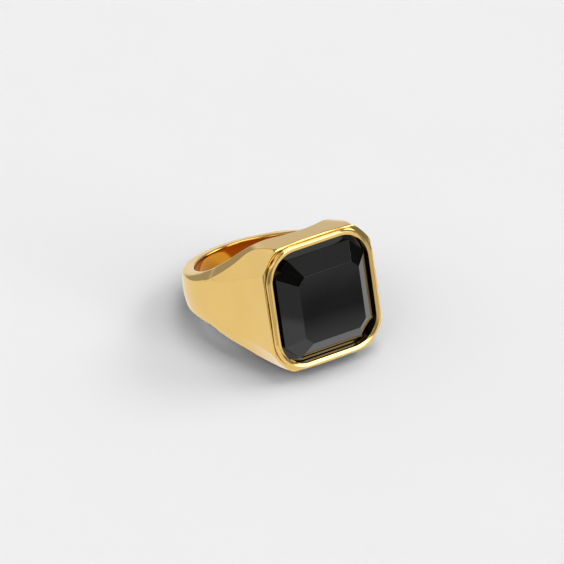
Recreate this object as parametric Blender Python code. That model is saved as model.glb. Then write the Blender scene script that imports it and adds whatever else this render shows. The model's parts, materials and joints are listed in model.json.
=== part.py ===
"""A signet ring lying on its side: cast body, bezel frame, step-cut stone and the cement under it.

The ring is modelled round its finger axis, which is the local Z axis. The head faces local -Y and
the shank passes behind at +Y, so "height" below is the distance from the finger axis towards the
head. One empty then leans the whole ring onto the floor, as it comes to rest on its side.
"""
import math

import bmesh
import bpy
from mathutils import Matrix, Vector

MM = 0.001

# Driving dimensions
BORE_RADIUS = 9.5 * MM
HEAD_HALF_LENGTH = 8.85 * MM      # along the finger
HEAD_HALF_WIDTH = 8.4 * MM        # across the finger
HEAD_HEIGHT = 13.35 * MM          # finger axis to the flat deck that the frame stands on
HEAD_CORNER_X = 5.6 * MM          # where the corner facet meets the long side of the head
HEAD_CORNER_Z = 5.4 * MM          # where the corner facet meets the short side of the head
HEAD_CORNER_BULGE = 0.35 * MM     # how far the corner facet bows outwards
GAP = 0.25 * MM                   # clearance between neighbouring pieces

FRAME_OPENING_X = 7.3 * MM
FRAME_OPENING_Z = 7.68 * MM
FRAME_OPENING_CORNER = 3.8 * MM
FRAME_TOP = 14.08 * MM
FRAME_INNER_FACET = 0.47 * MM
FRAME_INNER_DROP = 0.08 * MM
FRAME_OUTER_FACET = 0.33 * MM
FRAME_OUTER_DROP = 0.25 * MM
COLLAR_WALL = 0.5 * MM
COLLAR_DEPTH = 2.33 * MM
LEDGE_WIDTH = 1.1 * MM
LEDGE_THICKNESS = 0.5 * MM

TABLE_X = 4.6 * MM
TABLE_Z = 4.6 * MM
TABLE_CUT = 1.0 * MM
CROWN_RUN = 2.2 * MM
CROWN_RISE = 1.9 * MM
GIRDLE_CUT = 2.1 * MM
GIRDLE_HEIGHT = 14.0 * MM
SEAT_HEIGHT = 12.8 * MM           # top of the stone's rounded skirt, which the frame surrounds
SEAT_STEP = 0.08 * MM
STONE_BACK = 12.5 * MM
STONE_BACK_CHAMFER = 0.15 * MM

# Radius and half width of the body's edges, by angle round the finger axis from the head.
# The crease bounds the flat side of the shoulder, and the facet edge bounds its outer face.
INNER_HALF_WIDTH = (
    (0, 8.6), (24, 8.5), (32, 8.2), (40, 7.75), (49, 7.0), (59, 6.0), (69, 5.1), (81, 4.1), (95, 3.3), (120, 2.5),
    (150, 2.0), (180, 1.95)
)
CREASE_RADIUS = ((18, 16.0), (22, 14.75), (29, 12.95), (34, 11.8), (42, 11.2), (60, 11.4), (80, 11.2), (180, 10.7))
CREASE_HALF_WIDTH = (
    (15, 8.75), (22, 8.6), (29, 8.3), (34, 8.0), (42, 7.2), (50, 6.0), (58, 5.0), (66, 4.1), (80, 2.9), (110, 2.3),
    (180, 1.8)
)
FACET_RADIUS = ((25, 18.0), (33, 15.4), (44, 12.95), (55, 12.0), (68, 11.55), (80, 11.3), (180, 11.1))
FACET_HALF_WIDTH = ((31, 5.4), (44, 4.4), (55, 3.8), (68, 3.3), (80, 2.6), (110, 1.7), (180, 1.3))
OUTER_RADIUS = ((25, 18.2), (33, 15.55), (44, 13.15), (55, 12.2), (68, 11.65), (85, 11.4), (180, 11.35))

HEAD_STEPS = 9
SHOULDER_STEPS = 26
BACK_STEPS = 12
CORNER_STEPS = 8

GOLD = (0.83, 0.57, 0.22, 1.0)
BLACK = (0.012, 0.012, 0.012, 1.0)
CEMENT = (0.75, 0.72, 0.62, 1.0)


def clear_scene():
    for old in list(bpy.data.objects):
        bpy.data.objects.remove(old, do_unlink=True)


def make_material(name, colour, roughness, metallic):
    material = bpy.data.materials.new(name)
    material.use_nodes = True
    shader = material.node_tree.nodes["Principled BSDF"]
    shader.inputs["Base Color"].default_value = colour
    shader.inputs["Roughness"].default_value = roughness
    shader.inputs["Metallic"].default_value = metallic
    return material


def local_point(x, height, z):
    return Vector((x, -height, z))


def loops_to_object(name, loops, material, parent, joined):
    """Bridge loops of equal length. The last joins the first if joined, or both ends are capped."""
    mesh = bmesh.new()
    rings = [[mesh.verts.new(point) for point in loop] for loop in loops]
    pairs = list(zip(rings, rings[1:]))
    if joined:
        pairs.append((rings[-1], rings[0]))
    for ring, following in pairs:
        count = len(ring)
        for i in range(count):
            j = (i + 1) % count
            mesh.faces.new((ring[i], ring[j], following[j], following[i]))
    if not joined:
        mesh.faces.new(rings[0])
        mesh.faces.new(rings[-1])
    bmesh.ops.recalc_face_normals(mesh, faces=mesh.faces)
    data = bpy.data.meshes.new(name)
    mesh.to_mesh(data)
    mesh.free()
    data.shade_smooth()
    data.set_sharp_from_angle(angle=math.radians(28))
    data.materials.append(material)
    piece = bpy.data.objects.new(name, data)
    piece.parent = parent
    bpy.context.collection.objects.link(piece)
    return piece


# Ring body


def interpolate(stations, angle):
    """Smooth monotone curve through (angle, millimetres) stations, held level past both ends."""
    angles = [station[0] for station in stations]
    values = [station[1] for station in stations]
    if angle <= angles[0]:
        return values[0] * MM
    if angle >= angles[-1]:
        return values[-1] * MM
    slopes = [
        (values[i + 1] - values[i]) / (angles[i + 1] - angles[i]) for i in range(len(angles) - 1)
    ]
    tangents = [slopes[0]]
    for before, after in zip(slopes, slopes[1:]):
        tangents.append(2 * before * after / (before + after) if before * after > 0 else 0.0)
    tangents.append(0.0)
    k = max(i for i in range(len(angles) - 1) if angles[i] <= angle)
    span = angles[k + 1] - angles[k]
    t = (angle - angles[k]) / span
    value = (
        (1 + 2 * t) * (1 - t) ** 2 * values[k]
        + t * (1 - t) ** 2 * span * tangents[k]
        + t * t * (3 - 2 * t) * values[k + 1]
        - t * t * (1 - t) * span * tangents[k + 1]
    )
    return value * MM


def smooth_minimum(a, b, radius):
    """The smaller of two lengths, with the corner between them rounded."""
    overlap = max(radius - abs(a - b), 0.0) / radius
    return min(a, b) - overlap * overlap * radius / 4


def corner_points(before, corner, after, reach, steps):
    """A rounded corner, as a quadratic arc that starts and ends `reach` from the corner."""
    start = corner + (before - corner).normalized() * min(reach, 0.45 * (before - corner).length)
    end = corner + (after - corner).normalized() * min(reach, 0.45 * (after - corner).length)
    points = []
    for i in range(steps):
        t = i / (steps - 1)
        points.append(start.lerp(corner, t).lerp(corner.lerp(end, t), t))
    return points


def facet_half_width(angle):
    """Half width of the outer face: cut by the head's corner line, then by the shoulder facet."""
    x = HEAD_HEIGHT * math.tan(math.radians(min(angle, 40.0)))
    along = (x - HEAD_CORNER_X) / (HEAD_HALF_WIDTH - HEAD_CORNER_X)
    if along <= 0:
        return HEAD_HALF_LENGTH - 0.15 * MM
    corner_line = (HEAD_HALF_LENGTH - 0.15 * MM) * (1 - along) + HEAD_CORNER_Z * along
    corner_line += HEAD_CORNER_BULGE * 4 * along * max(1 - along, 0.0)
    return max(corner_line, interpolate(FACET_HALF_WIDTH, angle))


def half_section(angle):
    """(radius, z) points of one side of the body's section, from its outer face to its bore."""
    top = HEAD_HEIGHT / math.cos(math.radians(min(angle, 60.0)))
    rounding = 0.35 * MM
    outer = smooth_minimum(top, interpolate(OUTER_RADIUS, angle), rounding)
    facet = smooth_minimum(top, interpolate(FACET_RADIUS, angle), rounding)
    crease = smooth_minimum(top, interpolate(CREASE_RADIUS, angle), rounding)
    crease_half = smooth_minimum(HEAD_HALF_LENGTH, interpolate(CREASE_HALF_WIDTH, angle), MM)
    inner_half = smooth_minimum(HEAD_HALF_LENGTH, interpolate(INNER_HALF_WIDTH, angle), MM)
    facet_half = min(facet_half_width(angle), crease_half - 0.12 * MM)
    crease = min(crease, facet - 0.12 * MM)
    softness = min(max((angle - 50.0) / 60.0, 0.0), 1.0)
    reach = (0.15 + 0.6 * softness) * MM
    middle = Vector((outer, 0.0))
    crown = Vector((outer - 0.2 * (outer - facet), 0.5 * facet_half))
    facet_edge = Vector((facet, facet_half))
    crease_edge = Vector((crease, crease_half))
    bore_edge = Vector((BORE_RADIUS, inner_half))
    bore_middle = Vector((BORE_RADIUS, 0.0))
    points = [middle, crown]
    points += corner_points(crown, facet_edge, crease_edge, reach, 3)
    points += corner_points(facet_edge, crease_edge, bore_edge, reach, 3)
    points += corner_points(crease_edge, bore_edge, bore_middle, 0.35 * MM, 3)
    points.append(Vector((BORE_RADIUS, 0.5 * inner_half)))
    points.append(bore_middle)
    return points


def section_angles():
    """Angles from the head, close together over the shoulders where the section changes most."""
    corner = math.degrees(math.atan2(HEAD_CORNER_X, HEAD_HEIGHT))
    head = [corner * i / HEAD_STEPS for i in range(HEAD_STEPS)]
    shoulder = [corner + (100.0 - corner) * (i / SHOULDER_STEPS) ** 1.6 for i in range(SHOULDER_STEPS)]
    back = [100.0 + 80.0 * i / BACK_STEPS for i in range(BACK_STEPS + 1)]
    right = head + shoulder + back
    left = [-angle for angle in reversed(right[1:-1])]
    return right + left


def make_ring_body(material, parent):
    loops = []
    for angle in section_angles():
        direction = math.radians(angle)
        upper = half_section(abs(angle))
        lower = [Vector((point.x, -point.y)) for point in reversed(upper[1:-1])]
        loops.append([
            local_point(point.x * math.sin(direction), point.x * math.cos(direction), point.y)
            for point in upper + lower
        ])
    return loops_to_object("ring_body", loops, material, parent, joined=True)


def cut(piece, cutter):
    cutter.hide_render = True
    cutter.display_type = "WIRE"
    modifier = piece.modifiers.new("pocket", "BOOLEAN")
    modifier.operation = "DIFFERENCE"
    modifier.solver = "EXACT"
    modifier.object = cutter


# Bezel frame


def rounded_outline(half_x, half_z, corner, height):
    """A rectangle with quarter-round corners, at a height above the finger axis."""
    points = []
    for quarter in range(4):
        centre_x = (half_x - corner) * (1 if quarter in (0, 3) else -1)
        centre_z = (half_z - corner) * (1 if quarter in (0, 1) else -1)
        for i in range(CORNER_STEPS + 1):
            turn = math.radians(90 * (quarter + i / CORNER_STEPS))
            x = centre_x + corner * math.cos(turn)
            z = centre_z + corner * math.sin(turn)
            points.append(local_point(x, height, z))
    return points


def frame_outline(offset, height):
    """The frame's opening, grown outwards by an offset."""
    return rounded_outline(
        FRAME_OPENING_X + offset, FRAME_OPENING_Z + offset, FRAME_OPENING_CORNER + offset, height
    )


def make_bezel_frame(material, parent):
    flange = FRAME_INNER_FACET + FRAME_OUTER_FACET
    flange_bottom = HEAD_HEIGHT + GAP
    collar_bottom = FRAME_TOP - COLLAR_DEPTH
    ledge_top = collar_bottom + LEDGE_THICKNESS
    loops = [
        frame_outline(0.0, FRAME_TOP - FRAME_INNER_DROP),
        frame_outline(FRAME_INNER_FACET, FRAME_TOP),
        frame_outline(flange, FRAME_TOP - FRAME_OUTER_DROP),
        frame_outline(flange, flange_bottom),
        frame_outline(COLLAR_WALL, flange_bottom),
        frame_outline(COLLAR_WALL, collar_bottom),
        frame_outline(-LEDGE_WIDTH, collar_bottom),
        frame_outline(-LEDGE_WIDTH, ledge_top),
        frame_outline(0.0, ledge_top),
    ]
    return loops_to_object("bezel_frame", loops, material, parent, joined=True)


def make_pocket_cutter(material, parent):
    floor = FRAME_TOP - COLLAR_DEPTH - GAP
    loops = [
        frame_outline(COLLAR_WALL + GAP, floor),
        frame_outline(COLLAR_WALL + GAP, HEAD_HEIGHT + MM),
    ]
    return loops_to_object("pocket_cutter", loops, material, parent, joined=False)


# Stone and cement


def octagon(half_x, half_z, corner_cut, height):
    """A rectangle with straight cut corners, with as many points as a rounded outline."""
    points = []
    for sign_x, sign_z in ((1, 1), (-1, 1), (-1, -1), (1, -1)):
        start = Vector((sign_x * half_x, sign_z * (half_z - corner_cut)))
        end = Vector((sign_x * (half_x - corner_cut), sign_z * half_z))
        if sign_x * sign_z < 0:
            start, end = end, start
        for i in range(CORNER_STEPS + 1):
            point = start.lerp(end, i / CORNER_STEPS)
            points.append(local_point(point.x, height, point.y))
    return points


def make_stone(material, parent):
    girdle_x = TABLE_X + CROWN_RUN
    girdle_z = TABLE_Z + CROWN_RUN
    seat_x = FRAME_OPENING_X - GAP
    seat_z = FRAME_OPENING_Z - GAP
    seat_corner = FRAME_OPENING_CORNER - GAP
    inset = STONE_BACK_CHAMFER
    loops = [
        octagon(TABLE_X, TABLE_Z, TABLE_CUT, GIRDLE_HEIGHT + CROWN_RISE),
        octagon(girdle_x, girdle_z, GIRDLE_CUT, GIRDLE_HEIGHT),
        octagon(girdle_x, girdle_z, GIRDLE_CUT, SEAT_HEIGHT + SEAT_STEP),
        rounded_outline(seat_x, seat_z, seat_corner, SEAT_HEIGHT),
        rounded_outline(seat_x, seat_z, seat_corner, STONE_BACK + inset),
        rounded_outline(seat_x - inset, seat_z - inset, seat_corner - inset, STONE_BACK),
    ]
    return loops_to_object("stone", loops, material, parent, joined=False)


def make_cement_bed(material, parent):
    top = STONE_BACK - GAP
    bottom = FRAME_TOP - COLLAR_DEPTH
    half_x = FRAME_OPENING_X - LEDGE_WIDTH - GAP
    half_z = FRAME_OPENING_Z - LEDGE_WIDTH - GAP
    corner = FRAME_OPENING_CORNER - LEDGE_WIDTH
    loops = [
        rounded_outline(half_x, half_z, corner, bottom),
        rounded_outline(half_x, half_z, corner, top),
    ]
    return loops_to_object("cement_bed", loops, material, parent, joined=False)


# Rest pose


def resting_lean(points):
    """How far the ring leans when the underside of its shank and of its head both touch the floor."""
    lean = math.radians(15)
    for _ in range(8):
        down = Vector((0.0, math.sin(lean), -math.cos(lean)))
        back = max((point for point in points if point.y > 0), key=down.dot)
        lean = max(
            math.atan2(back.z - point.z, back.y - point.y) for point in points if point.y < 0
        )
    return lean


def lay_on_floor(pose, pieces):
    """Lean the ring onto its side, then put its box's bottom centre at the origin."""
    body = pieces[0].data
    lean = resting_lean([vertex.co for vertex in body.vertices])
    pose.rotation_euler = (-lean, 0.0, 0.0)
    turn = Matrix.Rotation(-lean, 3, "X")
    corners = [turn @ vertex.co for piece in pieces for vertex in piece.data.vertices]
    low_y = min(corner.y for corner in corners)
    high_y = max(corner.y for corner in corners)
    low_z = min(corner.z for corner in corners)
    pose.location = (0.0, -(low_y + high_y) / 2, -low_z)


def build():
    clear_scene()
    gold = make_material("polished_gold", GOLD, 0.08, 1.0)
    onyx = make_material("black_stone", BLACK, 0.05, 0.0)
    cement = make_material("cement", CEMENT, 0.7, 0.0)
    pose = bpy.data.objects.new("ring_pose", None)
    bpy.context.collection.objects.link(pose)
    body = make_ring_body(gold, pose)
    cut(body, make_pocket_cutter(gold, pose))
    frame = make_bezel_frame(gold, pose)
    stone = make_stone(onyx, pose)
    bed = make_cement_bed(cement, pose)
    lay_on_floor(pose, [body, frame, stone, bed])


build()
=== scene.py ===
"""Looks of the signet ring: mirror-polished gold, a step-cut black stone, and a pale studio round them.

The ring is worked out round its finger axis: x runs across the head, z along the finger, and
"height" is the distance from the finger axis towards the head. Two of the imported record's mounts
give that frame: "finger" is on the finger axis and "stone_table" faces the way the head does.
"""
import json
import math

import bmesh
import bpy
from mathutils import Matrix, Vector


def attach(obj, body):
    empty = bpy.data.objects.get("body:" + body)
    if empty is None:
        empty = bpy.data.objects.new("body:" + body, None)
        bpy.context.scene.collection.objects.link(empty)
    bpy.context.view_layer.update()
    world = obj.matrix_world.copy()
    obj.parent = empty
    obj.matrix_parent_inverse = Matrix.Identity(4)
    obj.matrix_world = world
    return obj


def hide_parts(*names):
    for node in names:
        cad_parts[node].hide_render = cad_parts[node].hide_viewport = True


MM = 0.001

# Ring body. The outer face ends at the facet edge, and the side face runs from the crease to the
# bore. The tables give lengths by angle round the finger axis, in degrees from the head.
BORE_RADIUS = 9.5
DECK_HEIGHT = 13.5
HEAD_HALF_LENGTH = 8.85
HEAD_HALF_WIDTH = 8.45
HEAD_CORNER_X = 5.55
HEAD_CORNER_Z = 5.4
HEAD_CORNER_BULGE = 0.4
HEAD_EDGE = 0.15
INNER_HALF_WIDTH = (
    (0, 8.6), (24, 8.5), (32, 8.2), (40, 7.75), (49, 7.0), (59, 6.0), (69, 5.1), (81, 4.1), (95, 3.3),
    (120, 2.5), (150, 2.0), (180, 1.95)
)
CREASE_RADIUS = (
    (18, 16.0), (22, 14.75), (29, 12.95), (34, 11.8), (42, 11.2), (60, 11.4), (80, 11.2), (180, 10.7)
)
CREASE_HALF_WIDTH = (
    (15, 8.75), (22, 8.6), (29, 8.3), (34, 8.0), (42, 7.2), (50, 6.0), (58, 5.0), (66, 4.1), (80, 2.9),
    (110, 2.3), (180, 1.8)
)
FACET_RADIUS = ((25, 18.0), (33, 15.4), (44, 12.95), (55, 12.0), (68, 11.55), (80, 11.3), (180, 11.1))
FACET_HALF_WIDTH = ((31, 5.4), (44, 4.4), (55, 3.8), (68, 3.3), (80, 2.6), (110, 1.7), (180, 1.3))
OUTER_RADIUS = ((25, 18.2), (33, 15.55), (44, 13.15), (55, 12.2), (68, 11.65), (85, 11.4), (180, 11.35))

# Where two limits of the section meet: how widely they blend, and how far apart they must stay
TOP_BLEND = 0.22
CORNER_BLEND = 0.7
SIDE_BLEND = 0.6
CREASE_SPACE = 0.12
CREASE_DROP = 0.1

# Rounding of the section's edges. The two long edges start with EDGE_REACH, and grow rounder from
# SOFT_START degrees over the next SOFT_SPAN. CROWN_DROP is a share of the fall to the facet edge.
EDGE_REACH = 0.13
EXTRA_REACH = 0.75
SOFT_START = 64.0
SOFT_SPAN = 26.0
BORE_REACH = 0.4
CROWN_DROP = 0.2

# Bezel frame
OPENING_X = 7.3
OPENING_Z = 7.68
OPENING_CORNER = 3.8
FRAME_CREST = 14.08
FRAME_INNER_HEIGHT = 14.0
FRAME_OUTER_HEIGHT = 13.92
CREST_OFFSET = 0.47
FRAME_OFFSET = 0.8
GROOVE_WIDTH = 0.06
GROOVE_FLOOR = 13.3
COLLAR_WALL = 0.5
COLLAR_BOTTOM = 11.75
LEDGE_TOP = 12.25
LEDGE_WIDTH = 1.1
FRAME_CLEARANCE = 0.05
CUTTER_TOP = 16.0

# Stone: table and girdle are half width, half length and corner cut
TABLE = (4.6, 4.6, 1.0)
GIRDLE = (6.8, 6.8, 2.1)
TABLE_HEIGHT = 15.9
GIRDLE_HEIGHT = 14.0
SEAT_HEIGHT = 12.8
SEAT_CLEARANCE = 0.05
STONE_BACK = 12.5
STONE_BEVEL = 0.008

# Studio: the floor is just under the ring's lowest point, and the glow is just under the floor
FLOOR_HEIGHT = -0.07 * MM
FLOOR_RADIUS = 3.0
GLOW_DEPTH = 0.02 * MM
GLOW_RADIUS = 80 * MM
CARD_AZIMUTH = 27
CARD_DISTANCE = 90
CARD_HALF_WIDTH = 13
CARD_HEIGHT = 9.5
FLAG_RADIUS = 9.3
FLAG_SIDES = 48

# Panels of the dome: azimuth, elevation, half width, half height, strength and edge softness
PANELS = (
    (180, 0, 15, 14, 0.16, 8),
    (150, 0, 18, 13, 0.45, 6),
    (-133, 6, 35, 18, 0.62, 6),
    (-48, -6, 12, 8, 0.2, 8),
    (-8, -4, 22, 8, 0.36, 6),
    (46, -6, 9, 8, 0.62, 5),
    (27, 25, 9, 22, 3.8, 5),
    (-92, 42, 24, 18, 0.5, 12),
    (82, 38, 15, 10, 5.0, 8),
    (-40, 48, 22, 14, 1.3, 10),
    (110, 77, 16, 15, 3.4, 8),
)

# Darker round patches of the dome: azimuth, elevation, radius, edge softness and share of light left
SHADES = (
    (-38.5, 47.4, 9, 5, 0.01),
    (87, 12, 9, 5, 0.1),
)

# View of the photograph: where the camera stands round the ring, and what it aims at
VIEW_AZIMUTH = -33.96
VIEW_ELEVATION = 35.98
VIEW_ROLL = 2.665
VIEW_DISTANCE = 1.0
VIEW_LENS = 487.5
AIM_RIGHT = 1.719 * MM
AIM_UP = -0.990 * MM


def ring_frame(record):
    mounts = {mount["name"]: mount for mount in record["mounts"]}
    centre = Vector(mounts["finger"]["pos_m"])
    along = Vector(mounts["finger"]["axis"]).normalized()
    head = Vector(mounts["stone_table"]["axis"]).normalized()
    return centre, along.cross(head), head, along


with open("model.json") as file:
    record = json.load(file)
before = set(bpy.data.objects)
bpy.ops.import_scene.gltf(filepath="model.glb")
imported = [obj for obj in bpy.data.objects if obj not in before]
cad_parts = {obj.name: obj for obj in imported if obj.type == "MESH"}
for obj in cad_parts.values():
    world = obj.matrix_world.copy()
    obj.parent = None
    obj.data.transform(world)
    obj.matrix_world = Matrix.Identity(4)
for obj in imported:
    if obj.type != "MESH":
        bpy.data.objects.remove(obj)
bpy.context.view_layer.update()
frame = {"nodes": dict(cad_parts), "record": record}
CENTRE, ACROSS, HEAD, ALONG = ring_frame(frame["record"])


def place(x, height, z):
    """A point of the ring's own frame, in millimetres, as a world point."""
    return CENTRE + (ACROSS * x + HEAD * height + ALONG * z) * MM


# Mesh helpers


def add_object(name, mesh):
    """Turns a finished bmesh into an object of the scene."""
    data = bpy.data.meshes.new(name)
    mesh.to_mesh(data)
    mesh.free()
    added = bpy.data.objects.new(name, data)
    bpy.context.scene.collection.objects.link(added)
    return added


def surface(name, rows, ends):
    """A smooth skin over closed rows of points. ends is "join", the last row to the first, or "cap"."""
    mesh = bmesh.new()
    rings = [[mesh.verts.new(point) for point in row] for row in rows]
    pairs = list(zip(rings, rings[1:]))
    if ends == "join":
        pairs.append((rings[-1], rings[0]))
    for ring, following in pairs:
        for i in range(len(ring)):
            j = (i + 1) % len(ring)
            mesh.faces.new((ring[i], ring[j], following[j], following[i]))
    if ends == "cap":
        mesh.faces.new(rings[0])
        mesh.faces.new(rings[-1])
    bmesh.ops.recalc_face_normals(mesh, faces=mesh.faces)
    piece = add_object(name, mesh)
    piece.data.shade_smooth()
    return piece


def arc(before, corner, after, reach, steps):
    """A rounded corner: a quadratic arc that starts and ends `reach` from the corner."""
    start = corner + (before - corner).normalized() * min(reach, 0.45 * (before - corner).length)
    end = corner + (after - corner).normalized() * min(reach, 0.45 * (after - corner).length)
    points = []
    for i in range(steps):
        t = i / (steps - 1)
        points.append(start.lerp(corner, t).lerp(corner.lerp(end, t), t))
    return points


def rounded_path(corners, reaches, steps):
    """A polyline through corners with each inner corner rounded by its own reach."""
    points = [corners[0]]
    for i in range(1, len(corners) - 1):
        points += arc(corners[i - 1], corners[i], corners[i + 1], reaches[i - 1], steps)
    points.append(corners[-1])
    return points


def refine(points, longest):
    """Adds points so that no step of the polyline is longer than `longest`."""
    result = [points[0]]
    for before, after in zip(points, points[1:]):
        count = max(1, math.ceil((after - before).length / longest))
        result += [before.lerp(after, (i + 1) / count) for i in range(count)]
    return result


# Ring body


def hermite(stations, angle):
    """Monotone curve through (angle, value) stations, mirrored at the head and at the back."""
    angle = abs(angle)
    angle = 360.0 - angle if angle > 180.0 else angle
    if angle <= stations[0][0]:
        first, second = stations[0], stations[1]
        slope = (second[1] - first[1]) / (second[0] - first[0])
        return first[1] + slope * max(angle - first[0], -8.0)
    if angle >= stations[-1][0]:
        return stations[-1][1]
    k = max(i for i in range(len(stations) - 1) if stations[i][0] <= angle)
    slopes = [(b[1] - a[1]) / (b[0] - a[0]) for a, b in zip(stations, stations[1:])]
    tangents = [slopes[0]]
    for before, after in zip(slopes, slopes[1:]):
        tangents.append(2 * before * after / (before + after) if before * after > 0 else 0.0)
    tangents.append(0.0)
    span = stations[k + 1][0] - stations[k][0]
    t = (angle - stations[k][0]) / span
    return (
        (1 + 2 * t) * (1 - t) ** 2 * stations[k][1]
        + t * (1 - t) ** 2 * span * tangents[k]
        + t * t * (3 - 2 * t) * stations[k + 1][1]
        - t * t * (1 - t) * span * tangents[k + 1]
    )


def smoothed(stations, angle, window):
    """The stations' curve averaged over a window, so that reflections run over it without kinks."""
    total = 0.0
    weights = 0.0
    for i in range(-4, 5):
        weight = (1 - (i / 5) ** 2) ** 2
        total += weight * hermite(stations, angle + window * i / 5)
        weights += weight
    return total / weights


def soft_minimum(a, b, radius):
    overlap = max(radius - abs(a - b), 0.0) / radius
    return min(a, b) - overlap * overlap * radius / 4


def soft_maximum(a, b, radius):
    return -soft_minimum(-a, -b, radius)


def facet_half_width(angle):
    """Half width of the outer face: cut by the head's corner line, then by the shoulder facet."""
    x = DECK_HEIGHT * math.tan(math.radians(min(angle, 40.0)))
    along = (x - HEAD_CORNER_X) / (HEAD_HALF_WIDTH - HEAD_CORNER_X)
    side = HEAD_HALF_LENGTH - HEAD_EDGE
    line = side + (HEAD_CORNER_Z - side) * along
    line += 4 * HEAD_CORNER_BULGE * along * min(max(1 - along, 0.0), 1.0)
    head = soft_minimum(side, line, CORNER_BLEND)
    return soft_maximum(head, smoothed(FACET_HALF_WIDTH, angle, 4), CORNER_BLEND)


def half_section(angle):
    """(radius, z) points of one side of the body's section, from its outer face to its bore."""
    top = DECK_HEIGHT / math.cos(math.radians(min(angle, 60.0)))
    outer = soft_minimum(top, smoothed(OUTER_RADIUS, angle, 3), TOP_BLEND)
    facet = soft_minimum(top, smoothed(FACET_RADIUS, angle, 3), 2.5 * TOP_BLEND)
    crease = soft_minimum(top, smoothed(CREASE_RADIUS, angle, 5), TOP_BLEND)
    crease_half = soft_minimum(HEAD_HALF_LENGTH, smoothed(CREASE_HALF_WIDTH, angle, 5), SIDE_BLEND)
    inner_half = soft_minimum(HEAD_HALF_LENGTH, smoothed(INNER_HALF_WIDTH, angle, 6), SIDE_BLEND)
    facet_half = min(facet_half_width(angle), crease_half - CREASE_SPACE)
    crease = min(crease, facet - CREASE_DROP)
    softness = min(max((angle - SOFT_START) / SOFT_SPAN, 0.0), 1.0)
    reach = EDGE_REACH + EXTRA_REACH * softness * softness * (3 - 2 * softness)
    crown = outer - CROWN_DROP * (outer - facet)
    middle = Vector((outer, 0.0))
    crown_turn = Vector((outer, 0.3 * facet_half))
    crown_edge = Vector((crown, 0.5 * facet_half))
    facet_edge = Vector((facet, facet_half))
    crease_edge = Vector((crease, crease_half))
    bore_edge = Vector((BORE_RADIUS, inner_half))
    bore_middle = Vector((BORE_RADIUS, 0.0))
    bore_side = Vector((BORE_RADIUS, inner_half * 0.95 - BORE_REACH))
    points = []
    for i in range(6):
        t = i / 6
        points.append(middle.lerp(crown_turn, t).lerp(middle.lerp(crown_edge, t), t))
    points += arc(crown_edge, facet_edge, crease_edge, reach, 10)
    points += arc(facet_edge, crease_edge, bore_edge, reach, 10)
    points += arc(crease_edge, bore_edge, bore_middle, BORE_REACH, 10)
    points += [bore_middle.lerp(bore_side, 1 - i / 5) for i in range(1, 5)]
    points.append(bore_middle)
    return points


def section_angles():
    """Close together over the edge of the head, where the section changes most."""
    angles = [1.0 * i for i in range(20)]
    angles += [20.0 + 0.25 * i for i in range(64)]
    angles += [36.0 + 0.8 * i for i in range(80)]
    angles += [100.0 + 1.6 * i for i in range(51)]
    return angles + [-angle for angle in reversed(angles[1:-1])]


def make_ring_body():
    rows = []
    for angle in section_angles():
        turn = math.radians(angle)
        upper = half_section(abs(angle))
        lower = [Vector((point.x, -point.y)) for point in reversed(upper[1:-1])]
        rows.append([
            place(point.x * math.sin(turn), point.x * math.cos(turn), point.y) for point in upper + lower
        ])
    return surface("gold_body", rows, ends="join")


def cut(piece, cutter):
    """Cuts the cutter out of the piece for good, and keeps the cut's edges crisp."""
    modifier = piece.modifiers.new("cut", "BOOLEAN")
    modifier.operation = "DIFFERENCE"
    modifier.solver = "EXACT"
    modifier.object = cutter
    depsgraph = bpy.context.evaluated_depsgraph_get()
    data = bpy.data.meshes.new_from_object(piece.evaluated_get(depsgraph))
    piece.modifiers.clear()
    old = piece.data
    piece.data = data
    bpy.data.meshes.remove(old)
    bpy.data.objects.remove(cutter)
    data.name = piece.name
    data.shade_smooth()
    data.set_sharp_from_angle(angle=math.radians(40))


# Bezel frame


def outline(offset, height):
    """The frame's opening, grown outwards by an offset, as a closed row of points."""
    half_x = OPENING_X + offset
    half_z = OPENING_Z + offset
    corner = OPENING_CORNER + offset
    points = []
    for quarter in range(4):
        centre_x = (half_x - corner) * (1 if quarter in (0, 3) else -1)
        centre_z = (half_z - corner) * (1 if quarter in (0, 1) else -1)
        for i in range(25):
            turn = math.radians(90 * (quarter + i / 24))
            points.append((centre_x + corner * math.cos(turn), centre_z + corner * math.sin(turn)))
        next_x = (half_x - corner) * (1 if (quarter + 1) % 4 in (0, 3) else -1)
        next_z = (half_z - corner) * (1 if (quarter + 1) % 4 in (0, 1) else -1)
        turn = math.radians(90 * (quarter + 1))
        start = points[-1]
        end = (next_x + corner * math.cos(turn), next_z + corner * math.sin(turn))
        for i in range(1, 6):
            points.append((start[0] + (end[0] - start[0]) * i / 6, start[1] + (end[1] - start[1]) * i / 6))
    return [place(x, height, z) for x, z in points]


def make_bezel_frame():
    corners = [
        Vector((0.0, LEDGE_TOP)),
        Vector((0.0, FRAME_INNER_HEIGHT)),
        Vector((CREST_OFFSET, FRAME_CREST)),
        Vector((FRAME_OFFSET, FRAME_OUTER_HEIGHT)),
        Vector((FRAME_OFFSET, GROOVE_FLOOR + FRAME_CLEARANCE)),
    ]
    profile = refine(rounded_path(corners, (0.09, 0.04, 0.12), 9), 0.25)
    profile += refine([
        Vector((FRAME_OFFSET, GROOVE_FLOOR + FRAME_CLEARANCE)),
        Vector((COLLAR_WALL, GROOVE_FLOOR + FRAME_CLEARANCE)),
        Vector((COLLAR_WALL, COLLAR_BOTTOM)),
        Vector((-LEDGE_WIDTH, COLLAR_BOTTOM)),
        Vector((-LEDGE_WIDTH, LEDGE_TOP)),
    ], 5.0)[1:]
    rows = [outline(point.x, point.y) for point in profile]
    piece = surface("gold_frame", rows, ends="join")
    piece.data.set_sharp_from_angle(angle=math.radians(50))
    return piece


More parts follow.
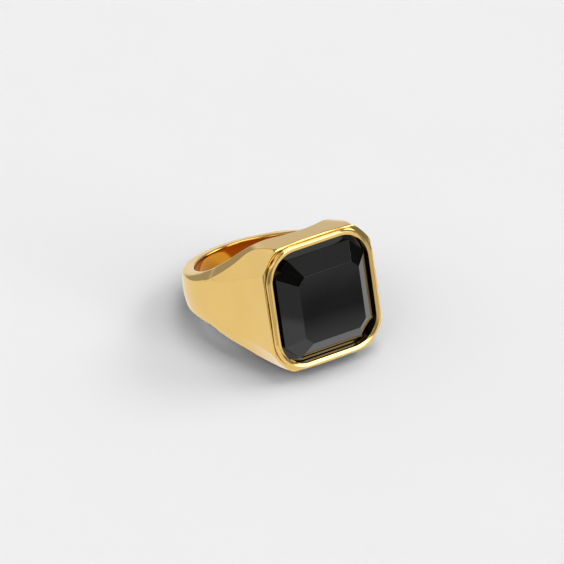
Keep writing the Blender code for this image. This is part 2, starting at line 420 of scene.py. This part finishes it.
def make_cutters():
    groove = surface("groove_cutter", [
        outline(FRAME_OFFSET + GROOVE_WIDTH, GROOVE_FLOOR),
        outline(FRAME_OFFSET + GROOVE_WIDTH, CUTTER_TOP),
    ], ends="cap")
    pocket = surface("pocket_cutter", [
        outline(COLLAR_WALL + FRAME_CLEARANCE, COLLAR_BOTTOM - FRAME_CLEARANCE),
        outline(COLLAR_WALL + FRAME_CLEARANCE, CUTTER_TOP),
    ], ends="cap")
    return groove, pocket


# Stone


def octagon(half_x, half_z, corner_cut, height):
    """A rectangle with straight cut corners, as a closed row of eight points."""
    corners = []
    for sign_x, sign_z in ((1, 1), (-1, 1), (-1, -1), (1, -1)):
        side = Vector((sign_x * half_x, sign_z * (half_z - corner_cut)))
        end = Vector((sign_x * (half_x - corner_cut), sign_z * half_z))
        corners += [side, end] if sign_x * sign_z > 0 else [end, side]
    return [place(point.x, height, point.y) for point in corners]


def make_stone():
    rows = [
        octagon(*TABLE, TABLE_HEIGHT),
        octagon(*GIRDLE, GIRDLE_HEIGHT),
        octagon(*GIRDLE, SEAT_HEIGHT - 0.1),
    ]
    piece = surface("cut_stone", rows, ends="cap")
    bevel = piece.modifiers.new("edges", "BEVEL")
    bevel.width = STONE_BEVEL * MM
    bevel.segments = 3
    bevel.limit_method = "ANGLE"
    bevel.angle_limit = math.radians(15)
    bevel.harden_normals = True
    skirt = surface("stone_skirt", [
        outline(-SEAT_CLEARANCE - 0.08, SEAT_HEIGHT),
        outline(-SEAT_CLEARANCE, SEAT_HEIGHT - 0.06),
        outline(-SEAT_CLEARANCE, STONE_BACK + 0.15),
        outline(-SEAT_CLEARANCE - 0.15, STONE_BACK),
    ], ends="cap")
    skirt.data.set_sharp_from_angle(angle=math.radians(30))
    return piece, skirt


# Materials


def new_material(name):
    material = bpy.data.materials.new(name)
    material.use_nodes = True
    nodes = material.node_tree.nodes
    return material, nodes, material.node_tree.links, nodes["Principled BSDF"]


def noise(nodes, links, coordinates, scale, detail):
    node = nodes.new("ShaderNodeTexNoise")
    node.inputs["Scale"].default_value = scale
    node.inputs["Detail"].default_value = detail
    links.new(coordinates, node.inputs["Vector"])
    return node.outputs["Fac"]


def ramp(nodes, links, factor, low, high):
    node = nodes.new("ShaderNodeMapRange")
    node.inputs["To Min"].default_value = low
    node.inputs["To Max"].default_value = high
    links.new(factor, node.inputs["Value"])
    return node.outputs["Result"]


def colour_ramp(nodes, links, factor, stops):
    node = nodes.new("ShaderNodeValToRGB")
    elements = node.color_ramp.elements
    elements[0].position, elements[0].color = stops[0]
    elements[1].position, elements[1].color = stops[-1]
    for position, colour in stops[1:-1]:
        elements.new(position).color = colour
    links.new(factor, node.inputs["Fac"])
    return node.outputs["Color"]


def paint_bore_shade(nodes, links, coordinates, colour):
    """Painted shade on the wall of the bore: a darker, redder gold that stands in for the deep colour of
    light bouncing between the gold walls, found by its distance from the finger axis.
    """
    offset = nodes.new("ShaderNodeVectorMath")
    offset.operation = "SUBTRACT"
    offset.inputs[1].default_value = CENTRE
    links.new(coordinates, offset.inputs[0])
    across = nodes.new("ShaderNodeVectorMath")
    across.operation = "CROSS_PRODUCT"
    across.inputs[1].default_value = ALONG
    links.new(offset.outputs["Vector"], across.inputs[0])
    radius = nodes.new("ShaderNodeVectorMath")
    radius.operation = "LENGTH"
    links.new(across.outputs["Vector"], radius.inputs[0])
    share = ramp(nodes, links, radius.outputs["Value"], 1.0, 0.0)
    share.node.inputs["From Min"].default_value = (BORE_RADIUS + 0.03) * MM
    share.node.inputs["From Max"].default_value = (BORE_RADIUS + 0.2) * MM
    blend = nodes.new("ShaderNodeMix")
    blend.data_type = "RGBA"
    links.new(share, blend.inputs["Factor"])
    links.new(colour, blend.inputs["A"])
    # The painted shade colour of the bore wall
    blend.inputs["B"].default_value = (0.68, 0.28, 0.024, 1.0)
    return blend.outputs["Result"]


def gold_material():
    material, nodes, links, shader = new_material("polished_gold")
    coordinates = nodes.new("ShaderNodeTexCoord").outputs["Object"]
    drift = noise(nodes, links, coordinates, 160.0, 2.0)
    colour = colour_ramp(nodes, links, drift, (
        (0.3, (0.86, 0.575, 0.190, 1.0)), (0.7, (0.90, 0.615, 0.215, 1.0))
    ))
    # The bore wall gets a painted shade: a darker, redder gold
    links.new(paint_bore_shade(nodes, links, coordinates, colour), shader.inputs["Base Color"])
    smudges = noise(nodes, links, coordinates, 320.0, 5.0)
    links.new(ramp(nodes, links, smudges, 0.03, 0.11), shader.inputs["Roughness"])
    shader.inputs["Metallic"].default_value = 1.0
    ripple = noise(nodes, links, coordinates, 900.0, 3.0)
    bump = nodes.new("ShaderNodeBump")
    bump.inputs["Strength"].default_value = 0.02
    bump.inputs["Distance"].default_value = 0.02 * MM
    links.new(ripple, bump.inputs["Height"])
    links.new(bump.outputs["Normal"], shader.inputs["Normal"])
    return material


def stone_material():
    material, nodes, links, shader = new_material("black_stone")
    coordinates = nodes.new("ShaderNodeTexCoord").outputs["Object"]
    clouds = noise(nodes, links, coordinates, 260.0, 6.0)
    colour = colour_ramp(nodes, links, clouds, (
        (0.35, (0.0018, 0.0017, 0.0016, 1.0)), (0.75, (0.0045, 0.0042, 0.0038, 1.0))
    ))
    links.new(colour, shader.inputs["Base Color"])
    polish = noise(nodes, links, coordinates, 700.0, 4.0)
    links.new(ramp(nodes, links, polish, 0.015, 0.06), shader.inputs["Roughness"])
    shader.inputs["IOR"].default_value = 1.6
    return material


def cement_material():
    material, nodes, links, shader = new_material("setting_cement")
    coordinates = nodes.new("ShaderNodeTexCoord").outputs["Object"]
    grain = noise(nodes, links, coordinates, 2500.0, 8.0)
    colour = colour_ramp(nodes, links, grain, (
        (0.3, (0.60, 0.56, 0.46, 1.0)), (0.7, (0.78, 0.75, 0.66, 1.0))
    ))
    links.new(colour, shader.inputs["Base Color"])
    links.new(ramp(nodes, links, grain, 0.55, 0.8), shader.inputs["Roughness"])
    bump = nodes.new("ShaderNodeBump")
    bump.inputs["Strength"].default_value = 0.4
    bump.inputs["Distance"].default_value = 0.05 * MM
    links.new(grain, bump.inputs["Height"])
    links.new(bump.outputs["Normal"], shader.inputs["Normal"])
    return material


def only_glow(links, shader, colour):
    """Makes a material give off a colour and reflect nothing."""
    shader.inputs["Base Color"].default_value = (0.0, 0.0, 0.0, 1.0)
    shader.inputs["Specular IOR Level"].default_value = 0.0
    links.new(colour, shader.inputs["Emission Color"])
    shader.inputs["Emission Strength"].default_value = 1.0


def grey_ramp(nodes, links, factor, stops):
    return colour_ramp(nodes, links, factor, [(at, (grey, grey, grey, 1.0)) for at, grey in stops])


def floor_material():
    material, nodes, links, shader = new_material("studio_floor")
    coordinates = nodes.new("ShaderNodeTexCoord").outputs["Object"]
    grain = noise(nodes, links, coordinates, 40.0, 3.0)
    colour = colour_ramp(nodes, links, grain, (
        (0.3, (0.808, 0.808, 0.808, 1.0)), (0.7, (0.816, 0.816, 0.816, 1.0))
    ))
    links.new(colour, shader.inputs["Base Color"])
    shader.inputs["Roughness"].default_value = 0.9
    shader.inputs["Specular IOR Level"].default_value = 0.1
    return material


# Studio


def world_direction(azimuth, elevation):
    """Unit vector towards a place on the studio dome; azimuth 0 is -Y and 90 is +X."""
    a, e = math.radians(azimuth), math.radians(elevation)
    return Vector((math.sin(a) * math.cos(e), -math.cos(a) * math.cos(e), math.sin(e)))


class Dome:
    """The studio's dome of light: a base glow that changes with height, plus soft panels."""

    def __init__(self):
        world = bpy.data.worlds.new("studio")
        bpy.context.scene.world = world
        world.use_nodes = True
        self.nodes = world.node_tree.nodes
        self.links = world.node_tree.links
        self.background = self.nodes["Background"]
        self.background.inputs["Color"].default_value = (1.0, 1.0, 1.0, 1.0)
        self.direction = self.nodes.new("ShaderNodeTexCoord").outputs["Generated"]
        self.total = None

    def math(self, operation, a, b=None, c=None):
        node = self.nodes.new("ShaderNodeMath")
        node.operation = operation
        for socket, value in zip(node.inputs, (a, b, c)):
            if value is None:
                continue
            if isinstance(value, (int, float)):
                socket.default_value = value
            else:
                self.links.new(value, socket)
        return node.outputs[0]

    def towards(self, vector):
        node = self.nodes.new("ShaderNodeVectorMath")
        node.operation = "DOT_PRODUCT"
        self.links.new(self.direction, node.inputs[0])
        node.inputs[1].default_value = vector
        return node.outputs["Value"]

    def fade(self, value, start, end):
        """0 at start and 1 at end, with a smooth change between them."""
        node = self.nodes.new("ShaderNodeMapRange")
        node.interpolation_type = "SMOOTHSTEP"
        self.links.new(value, node.inputs["Value"])
        node.inputs["From Min"].default_value = start
        node.inputs["From Max"].default_value = end
        return node.outputs["Result"]

    def add(self, value):
        self.total = value if self.total is None else self.math("ADD", self.total, value)

    def gradient(self, vector, start, end, low, high):
        """A glow that goes from low to high as the direction turns towards a vector."""
        self.add(self.math("MULTIPLY_ADD", self.fade(self.towards(vector), start, end), high - low, low))

    def panel(self, azimuth, elevation, half_width, half_height, strength, softness):
        """A soft rectangular panel, with half sizes and edge softness in degrees."""
        centre = world_direction(azimuth, elevation)
        right = Vector((0, 0, 1)).cross(centre).normalized()
        up = centre.cross(right)
        mask = self.fade(self.towards(centre), 0.0, 0.1)
        for axis, half in ((right, half_width), (up, half_height)):
            distance = self.math("ABSOLUTE", self.towards(axis))
            outer = math.sin(math.radians(min(half + softness / 2, 88)))
            inner = math.sin(math.radians(max(half - softness / 2, 0)))
            mask = self.math("MULTIPLY", mask, self.fade(distance, outer, inner))
        self.add(self.math("MULTIPLY", mask, strength))

    def shade(self, azimuth, elevation, radius, softness, factor):
        """Darkens a round patch of the dome to a share of its light."""
        near = self.towards(world_direction(azimuth, elevation))
        outer = math.cos(math.radians(radius + softness / 2))
        inner = math.cos(math.radians(max(radius - softness / 2, 0)))
        share = self.math("MULTIPLY_ADD", self.fade(near, outer, inner), factor - 1.0, 1.0)
        self.total = self.math("MULTIPLY", self.total, share)

    def finish(self):
        self.links.new(self.total, self.background.inputs["Strength"])


def make_dome():
    dome = Dome()
    dome.gradient(Vector((0, 0, 1)), -0.1, 0.8, 0.22, 0.34)
    for panel in PANELS:
        dome.panel(*panel)
    for shade in SHADES:
        dome.shade(*shade)
    dome.finish()


def show_only_in_reflections(piece):
    piece.visible_camera = False
    piece.visible_diffuse = False
    piece.visible_shadow = False


def flat_sheet(name, radius, height, material):
    mesh = bmesh.new()
    bmesh.ops.create_circle(mesh, cap_ends=True, segments=96, radius=radius)
    sheet = add_object(name, mesh)
    sheet.location = (CENTRE.x, CENTRE.y, height)
    sheet.data.materials.append(material)
    return sheet


def glow_material():
    """Light of the table top as reflections show it: a painted shadow of the ring under it, even round it,
    dim far off.
    """
    material, nodes, links, shader = new_material("table_glow")
    length = nodes.new("ShaderNodeVectorMath")
    length.operation = "LENGTH"
    links.new(nodes.new("ShaderNodeTexCoord").outputs["Object"], length.inputs[0])
    distance = ramp(nodes, links, length.outputs["Value"], 0.0, 1.0)
    distance.node.inputs["From Max"].default_value = GLOW_RADIUS
    # Low values near the middle are the painted shadow of the ring; the drop at the far edge is light
    # falling off
    stops = ((0.0, 0.3), (0.08, 0.55), (0.14, 0.88), (0.88, 0.88), (0.97, 0.4))
    only_glow(links, shader, grey_ramp(nodes, links, distance, stops))
    return material


def make_floor():
    """The floor, and under it a glowing sheet that takes its place in reflections."""
    floor = flat_sheet("floor", FLOOR_RADIUS, FLOOR_HEIGHT, floor_material())
    floor.visible_glossy = False
    glow = flat_sheet("table_glow", GLOW_RADIUS, FLOOR_HEIGHT - GLOW_DEPTH, glow_material())
    show_only_in_reflections(glow)


def make_light_flag():
    """A half-clear disc across the bore that softens the light falling through it onto the floor."""
    mesh = bmesh.new()
    turns = [math.radians(360.0 * i / FLAG_SIDES) for i in range(FLAG_SIDES)]
    mesh.faces.new([
        mesh.verts.new(place(FLAG_RADIUS * math.cos(turn), FLAG_RADIUS * math.sin(turn), 0.0))
        for turn in turns
    ])
    flag = add_object("light_flag", mesh)
    material, _, _, shader = new_material("light_flag")
    shader.inputs["Base Color"].default_value = (0.5, 0.5, 0.5, 1.0)
    shader.inputs["Alpha"].default_value = 0.6
    flag.data.materials.append(material)
    flag.visible_camera = False
    flag.visible_glossy = False


def make_gradient_card():
    """A low graduated card in front of the head, for the long soft reflection in the stone."""
    towards = world_direction(CARD_AZIMUTH, 0)
    side = Vector((0, 0, 1)).cross(towards)
    mesh = bmesh.new()
    corners = (
        (-CARD_HALF_WIDTH, 0), (CARD_HALF_WIDTH, 0),
        (CARD_HALF_WIDTH, CARD_HEIGHT), (-CARD_HALF_WIDTH, CARD_HEIGHT),
    )
    mesh.faces.new([
        mesh.verts.new((towards * CARD_DISTANCE + side * x + Vector((0, 0, z))) * MM) for x, z in corners
    ])
    card = add_object("gradient_card", mesh)
    material, nodes, links, shader = new_material("gradient_card")
    coordinates = nodes.new("ShaderNodeTexCoord").outputs["Object"]
    split = nodes.new("ShaderNodeSeparateXYZ")
    links.new(coordinates, split.inputs["Vector"])
    height = ramp(nodes, links, split.outputs["Z"], 0.0, 1.0)
    height.node.inputs["From Max"].default_value = CARD_HEIGHT * MM
    stops = ((0.0, 0.68), (0.18, 0.46), (0.40, 0.17), (0.60, 0.18), (0.95, 0.42))
    only_glow(links, shader, grey_ramp(nodes, links, height, stops))
    card.data.materials.append(material)
    show_only_in_reflections(card)


def make_camera():
    data = bpy.data.cameras.new("camera")
    camera = bpy.data.objects.new("camera", data)
    bpy.context.scene.collection.objects.link(camera)
    bpy.context.scene.camera = camera
    data.sensor_width = 36.0
    data.lens = VIEW_LENS
    data.clip_start = 0.1
    data.clip_end = 20.0
    back = world_direction(VIEW_AZIMUTH, VIEW_ELEVATION)
    level_right = Vector((0, 0, 1)).cross(back).normalized()
    turned = Matrix.Rotation(math.radians(VIEW_ROLL), 3, back)
    right = turned @ level_right
    up = back.cross(right)
    aim = CENTRE + right * AIM_RIGHT + up * AIM_UP
    rotation = Matrix((right, up, back)).transposed()
    camera.matrix_world = Matrix.Translation(aim + back * VIEW_DISTANCE) @ rotation.to_4x4()


def finish_piece(piece, material, node):
    piece.data.materials.clear()
    piece.data.materials.append(material)
    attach(piece, "root")
    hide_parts(node)


def build():
    gold = gold_material()
    body = make_ring_body()
    for cutter in make_cutters():
        cut(body, cutter)
    finish_piece(body, gold, "ring_body")
    finish_piece(make_bezel_frame(), gold, "bezel_frame")
    black = stone_material()
    for piece in make_stone():
        finish_piece(piece, black, "stone")
    bed = frame["nodes"]["cement_bed"]
    bed.data.materials.clear()
    bed.data.materials.append(cement_material())
    make_floor()
    make_gradient_card()
    make_light_flag()
    make_dome()
    make_camera()
    bpy.context.scene.view_settings.view_transform = "Standard"
    bpy.context.scene.cycles.caustics_reflective = False


build()
